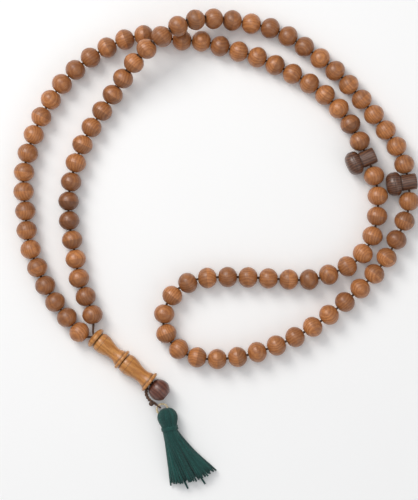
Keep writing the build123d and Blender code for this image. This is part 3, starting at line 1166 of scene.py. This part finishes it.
@dataclass
class TasselCord:
    """Two-strand cord from the leader's groove round the end bead to its own small loop."""

    axes: LeaderFrame
    strand: float = 0.36
    lay: float = 0.31
    pitch: float = 2.3
    groove: float = 28.5
    loop_along: float = 36.3
    loop_radius: float = 1.0
    loop_strand: float = 0.2
    loop_lay: float = 0.16
    knot_radius: float = 0.85
    knot_strand: float = 0.4
    knot_tilt: float = 0.9
    finish: YarnFinish = YarnFinish(
        "brown cord", tint("a08368"), tint("6b4a35"), tint("38251a"), 6.0, 0.2
    )

    def route(self) -> list[Point]:
        """Control points of the cord, in millimetres.

        Returns:
            The points, from the groove to the end loop.
        """
        g = self.groove
        stations = (
            (g, -2.1, 0.0), (g + 0.65, -3.6, 0.3), (g + 2.1, -4.85, 1.0), (g + 4.5, -5.4, 0.7),
        )  # fmt: skip
        end = self.axes.cord_point(self.loop_along - self.loop_radius)
        return [*(tuple(self.axes.point(*s)) for s in stations), tuple(end)]

    def build(self) -> None:
        """Lays the twisted strands, the knot and the end loop."""
        shape = Shape()
        centre_line = dense(line_points(self.route()), 60)
        for at in range(2):
            strand = twisted(centre_line, self.lay, self.pitch, math.pi * at)
            shape.tube(strand, self.strand, seed=at, sides=10)
        knot = self.axes.point(self.groove + 5.2, -5.6, 0.3)
        turn = self.axes.place().to_3x3() @ Matrix.Rotation(self.knot_tilt, 3, "Y")
        shape.tube(overhand(knot, self.knot_radius, turn), self.knot_strand, 0.15, 3.0, 10, True)
        middle = self.axes.cord_point(self.loop_along)
        along = self.axes.point(1, 0) - self.axes.point(0, 0)
        across = self.axes.point(0, 1) - self.axes.point(0, 0)
        for at in range(2):
            path, steps = [], 60
            for i in range(steps):
                a = math.tau * i / steps
                wound = 3 * a + math.pi * at
                out = along * math.cos(a) + Vector((0, 0, math.sin(a)))
                far = self.loop_radius + self.loop_lay * math.cos(wound)
                path.append(middle + out * far + across * (self.loop_lay * math.sin(wound)))
            shape.tube(path, self.loop_strand, 0.0, 4.0 + at, 8, True)
        brown, body = self.finish.material(), Body.CORD.value
        shape.piece("tassel_cord_twisted", brown, body, Slot.CORD, "tassel_cord")


def dense(path: Sequence[Vector], count: int) -> list[Vector]:
    """Reads a path at equal steps of length.

    Args:
        path: The path.
        count: How many points to read.

    Returns:
        The points, both ends kept.
    """
    gaps = [0.0]
    for a, b in zip(path, path[1:]):
        gaps.append(gaps[-1] + (b - a).length)
    table = np.array(path)
    wanted = np.linspace(0, gaps[-1], count)
    columns = [np.interp(wanted, gaps, table[:, k]) for k in range(3)]
    return [Vector(row) for row in zip(*columns)]


@dataclass
class Tassel:
    """Yarns folded over the thread eye, bound at the neck, fanned out over the table."""

    axes: LeaderFrame
    eye_along: float = 38.4
    eye_radius: float = 2.1
    head_angle: float = -79.0
    head_length: float = 7.0
    head_radius: float = 3.8
    neck_radius: float = 2.9
    binding_width: float = 1.5
    binding_thread: float = 0.24
    fold: float = 1.7
    yarn: float = 0.41
    eye_thread: float = 0.25
    eye_lay: float = 0.17
    fan_left: float = -87.0
    fan_right: float = -43.5
    droop: float = 0.13
    clear: float = 0.02
    loose_end: float = 0.93
    outer_yarns: int = 38
    inner_yarns: int = 76
    core_share: float = 0.86
    strays: tuple[tuple[float, float, float], ...] = (
        (-89.0, 22.0, 1.0), (-85.0, 20.6, 1.6), (-73.2, 24.2, 1.4), (-58.2, 25.3, 1.0),
        (-42.6, 24.0, 1.2), (-44.8, 23.4, 2.4),
    )  # fmt: skip
    finish: YarnFinish = YarnFinish(
        "tassel yarn", tint("4f968c"), tint("1f6159"), tint("0b2e2c"), 14.0, 0.15
    )
    thread: YarnFinish = YarnFinish(
        "eye thread", tint("fbf3e0"), tint("eadcbc"), tint("b9a27a"), 9.0, 0.2
    )

    def __post_init__(self) -> None:
        """Finds the head's frame from the eye."""
        angle = math.radians(self.head_angle)
        self.down = Vector((math.cos(angle), math.sin(angle), 0))
        self.across = Vector((-self.down.y, self.down.x, 0))
        far_side = self.axes.cord_point(self.eye_along + self.eye_radius)
        self.top = far_side - self.down * self.fold
        self.chance = random.Random(7)

    def bulb(self, x: float) -> float:
        """Radius of the head.

        Args:
            x: Distance below its top.

        Returns:
            The radius there.
        """
        half = 0.5 * self.head_length
        if x < half:
            return self.head_radius * math.sqrt(max(0.0, 1 - ((half - x) / half) ** 2.2))
        t = (x - half) / half
        return self.head_radius + (self.neck_radius - self.head_radius) * t * t * (3 - 2 * t)

    def section(self, x: float, share: float, turn: float) -> Vector:
        """Point of the head.

        Args:
            x: Distance below its top.
            share: Share of its radius there.
            turn: Angle round it.

        Returns:
            The point in millimetres.
        """
        return self.round_head(x, self.bulb(min(x, self.head_length)) * share, turn)

    def round_head(self, x: float, r: float, turn: float) -> Vector:
        """Point at a distance below the head's top, off its axis by a radius at an angle."""
        out = self.across * (r * math.cos(turn)) + Vector((0, 0, r * math.sin(turn)))
        return self.top + self.down * x + out

    def end_point(self, angle: float, length: float, height: float) -> Vector:
        """Where a yarn ends.

        Args:
            angle: Its direction from the neck, in degrees.
            length: Its distance from the neck.
            height: Its height over the table.

        Returns:
            The end point in millimetres.
        """
        neck = self.top + self.down * (self.head_length + 0.5 * self.binding_width)
        a = math.radians(angle)
        return Vector((neck.x + length * math.cos(a), neck.y + length * math.sin(a), height))

    def reach(self, angle: float) -> float:
        """Length of a yarn that ends at an angle, a little more or less than usual."""
        span = (angle - self.fan_left) / (self.fan_right - self.fan_left)
        return 20.4 + 2.6 * span + self.chance.uniform(-1.5, 0.8)

    def skirt(self, start: Vector, end: Vector) -> list[Vector]:
        """Path of a yarn with a slight wave, never under the table.

        Args:
            start: Where it leaves the neck.
            end: Where it ends.

        Returns:
            The path after its first point.
        """
        bend = start + self.down * ((end - start).length * self.droop)
        wave, phase = self.chance.uniform(0.05, 0.28), self.chance.uniform(0, math.tau)
        path, steps = [], 20
        for i in range(1, steps + 1):
            t = i / steps
            point = start * (1 - t) ** 2 + bend * (2 * t * (1 - t)) + end * t * t
            sway = wave * t * math.sin(phase + t * 7.0)
            path.append(point + self.across * sway + Vector((0, 0, 0.4 * sway * t)))
            path[-1].z = max(path[-1].z, self.yarn + self.clear)
        return path

    def thickness(self, share: float) -> float:
        """Yarn radius at a share of its length: even, with a soft loose end."""
        return self.yarn * (1.0 - 2.6 * max(0.0, share - self.loose_end))

    def build(self) -> None:
        """Makes the yarns, the binding and the eye."""
        yarn, pale, body = self.finish.material(), self.thread.material(), Body.TASSEL.value
        self.yarns().piece("tassel_yarns_spun", yarn, body, Slot.YARN, "tassel_yarns")
        self.binding().piece("tassel_binding_wound", yarn, body, Slot.YARN, "tassel_binding")
        self.eye().piece("tassel_eye_spun", pale, body, Slot.EYE, "tassel_eye")

    def yarns(self) -> Shape:
        """Outer yarns over the head, inner yarns of the skirt, a few stray ones and a core inside
        the head, drawn near-black as painted shade.

        Returns:
            The yarns.
        """
        shape = Shape()
        neck_at = self.head_length + self.binding_width
        for i in range(self.outer_yarns):
            turn = math.tau * (i + self.chance.uniform(0.0, 0.4)) / self.outer_yarns
            fold = [self.section(x, 0.92, turn) for x in np.linspace(0.12, self.head_length, 14)]
            start = self.section(neck_at, self.core_share, turn)
            upper = math.sin(turn) > 0
            across = 1 - 2 * (turn / math.pi) if upper else 2 * (turn / math.pi) - 3
            shape.tube(
                [*fold, start, *self.skirt(start, self.fan_end(across, 0.9 if upper else -0.95))],
                self.thickness, self.chance.random() * 0.75, i, 7,
            )  # fmt: skip
        for i in range(self.inner_yarns):
            across, layer = self.chance.uniform(-1, 1), self.chance.uniform(-0.85, 0.9)
            turn = math.atan2(layer, across)
            share = 0.8 * min(1.0, math.hypot(across, layer))
            start = self.section(neck_at - 1.0, share, turn)
            shape.tube(
                [start, *self.skirt(start, self.fan_end(across, layer))],
                self.thickness, self.chance.random() * 0.8, 50 + i, 7,
            )  # fmt: skip
        for i, (angle, length, height) in enumerate(self.strays):
            across = (2 * (angle - self.fan_left) / (self.fan_right - self.fan_left)) - 1
            start = self.section(neck_at, 0.8, 0.3 if across > 0 else math.pi - 0.3)
            path = self.skirt(start, self.end_point(angle, length, height))
            shape.tube([start, *path], self.thickness, 0.2 + 0.1 * i, 150 + i, 7)
        # Painted shade: a near-black core stands for the inner yarns, so the gaps between the outer
        # yarns look shaded.
        stations = np.linspace(0.6, self.head_length, 14)
        shade_core = [(0.5, 0.05), *((x, self.bulb(x) * self.core_share) for x in stations)]
        place = Matrix((self.down, self.across, Vector((0, 0, 1)))).transposed().to_4x4()
        place.translation = self.top
        shape.lathe(rings([*shade_core, (9.0, 2.2), (9.0, 0.05)]), place, 0.9, sides=24)
        return shape

    def fan_end(self, across: float, layer: float) -> Vector:
        """Where a yarn ends.

        Args:
            across: -1 at the left edge of the fan to 1 at the right.
            layer: -1 on the table to 1 on top.

        Returns:
            The end point in millimetres.
        """
        middle, half = (self.fan_left + self.fan_right) / 2, (self.fan_right - self.fan_left) / 2
        angle = middle + half * across + self.chance.uniform(-1.6, 1.6)
        room = math.sqrt(max(0.1, 1 - 0.8 * across * across))
        return self.end_point(angle, self.reach(angle), 2.3 + 1.8 * layer * room)

    def binding(self) -> Shape:
        """Thread wound round the neck.

        Returns:
            The binding.
        """
        shape, path = Shape(), []
        turns, steps, edge, radius = 4, 30, 0.15, self.neck_radius + 0.14
        for i in range(turns * steps + 1):
            x = self.head_length + edge + (self.binding_width - 2 * edge) * i / (turns * steps)
            path.append(self.round_head(x, radius, math.tau * i / steps))
        shape.tube(path, self.binding_thread, 0.25, 5.0, 8)
        return shape

    def eye(self) -> Shape:
        """Two pale threads twisted into a flat loop.

        Returns:
            The eye.
        """
        shape, centre = Shape(), self.axes.cord_point(self.eye_along)
        for at in range(2):
            path, steps, lay = [], 96, self.eye_lay
            for i in range(steps):
                a = math.tau * i / steps
                wound = 7 * a + math.pi * at
                r = self.eye_radius + lay * math.cos(wound)
                out = Vector((r * math.cos(a), r * math.sin(a), lay * math.sin(wound)))
                path.append(centre + out)
            shape.tube(path, self.eye_thread, 0.1 * at, float(at), 8, True)
        return shape


# ---------------------------------------------------------------------------- studio


@dataclass
class Studio:
    """Pale table, soft light from the upper left and the camera straight above."""

    centre: Point = (-0.0026, -0.0005, 0.0)
    camera_height: float = 0.798
    lens: float = 100.0
    film_height: float = 24.0
    table_width: float = 6.0
    table_gap: float = 0.0002
    paper_relief: float = 0.00002
    air_colour: Colour = (0.95, 0.97, 1.0)
    air_strength: float = 0.38

    def floor(self) -> None:
        """Wide matt table with a faint unevenness."""
        mesh = bpy.data.meshes.new("studio_floor")
        half = self.table_width / 2
        edge = [(-half, -half, 0), (half, -half, 0), (half, half, 0), (-half, half, 0)]
        mesh.from_pydata(edge, [], [(0, 1, 2, 3)])
        g = Graph("studio paper")
        place = Wire(g, g.node("ShaderNodeNewGeometry", {}, {}).outputs["Position"])
        cloud = g.noise(place, 14.0, 3.0)
        base = g.blend(cloud, (0.9, 0.9, 0.9), (0.93, 0.93, 0.93))
        grain = g.noise(place, 900.0, 2.0)
        mesh.materials.append(g.surface(base, 0.75 + cloud * 0.1, grain, self.paper_relief, {}))
        table = bpy.data.objects.new("studio_floor", mesh)
        table.location.z = -self.table_gap
        bpy.context.scene.collection.objects.link(table)

    def light(self, name: str, spot: Point, size: float, power: float, colour: Colour) -> None:
        """A square soft light aimed at the beads.

        Args:
            name: The light's name.
            spot: Its place in metres.
            size: Side of the square in metres.
            power: Watts.
            colour: Its colour.
        """
        lamp = bpy.data.lights.new(name, "AREA")
        lamp.size, lamp.energy, lamp.color = size, power, colour
        obj = bpy.data.objects.new(name, lamp)
        obj.location = spot
        aim = Vector(self.centre) - Vector(spot)
        obj.rotation_euler = aim.to_track_quat("-Z", "Y").to_euler()
        bpy.context.scene.collection.objects.link(obj)

    def camera(self) -> None:
        """A long lens straight above, the top of the frame toward +Y."""
        data = bpy.data.cameras.new("camera")
        data.sensor_fit = "VERTICAL"
        data.sensor_height, data.lens = self.film_height, self.lens
        data.clip_start, data.clip_end = 0.05, 20.0
        obj = bpy.data.objects.new("camera", data)
        obj.location = (self.centre[0], self.centre[1], self.camera_height)
        bpy.context.scene.collection.objects.link(obj)
        bpy.context.scene.camera = obj

    def build(self) -> None:
        """Sets up table, lights, surroundings and camera."""
        self.camera()
        self.floor()
        self.light("key_light", (-0.42, 0.5, 0.62), 0.42, 5.0, (1.0, 0.985, 0.96))
        self.light("top_light", (-0.1, 0.15, 1.25), 0.8, 3.6, (1.0, 1.0, 1.0))
        self.light("fill_light", (0.6, -0.45, 0.55), 0.7, 1.3, (1.0, 0.99, 0.97))
        world = bpy.data.worlds.new("studio_air")
        world.use_nodes = True
        air = world.node_tree.nodes["Background"]
        air.inputs["Color"].default_value = (*self.air_colour, 1.0)
        air.inputs["Strength"].default_value = self.air_strength
        bpy.context.scene.world = world
        bpy.context.scene.view_settings.view_transform = "Standard"


def main() -> None:
    """Builds every piece in order."""
    logging.basicConfig(level=logging.INFO, format="%(message)s")
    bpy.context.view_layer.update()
    Studio().build()
    axes = LeaderFrame()
    yarn = YarnFinish("string", tint("8a6a4c"), tint("5b4030"), tint("2f2019"), 8.0, 0.2)
    string = yarn.material()
    line = StringLoop(axes).build(string)
    BeadRun(line).build()
    rosewood = tint("80563c"), tint("4c2c1e"), tint("20120c")
    marker_wood = WoodFinish("marker wood", *rosewood, 0.9, 0.5, 0.5).material()
    Marker("marker_one", 1).build(marker_wood)
    Marker("marker_two", -1).build(marker_wood)
    Leader(axes).build()
    LeaderStrands(axes).build(string)
    TasselCord(axes).build()
    Tassel(axes).build()
    LOG.info("sizes written")


if __name__ == "__main__":
    main()
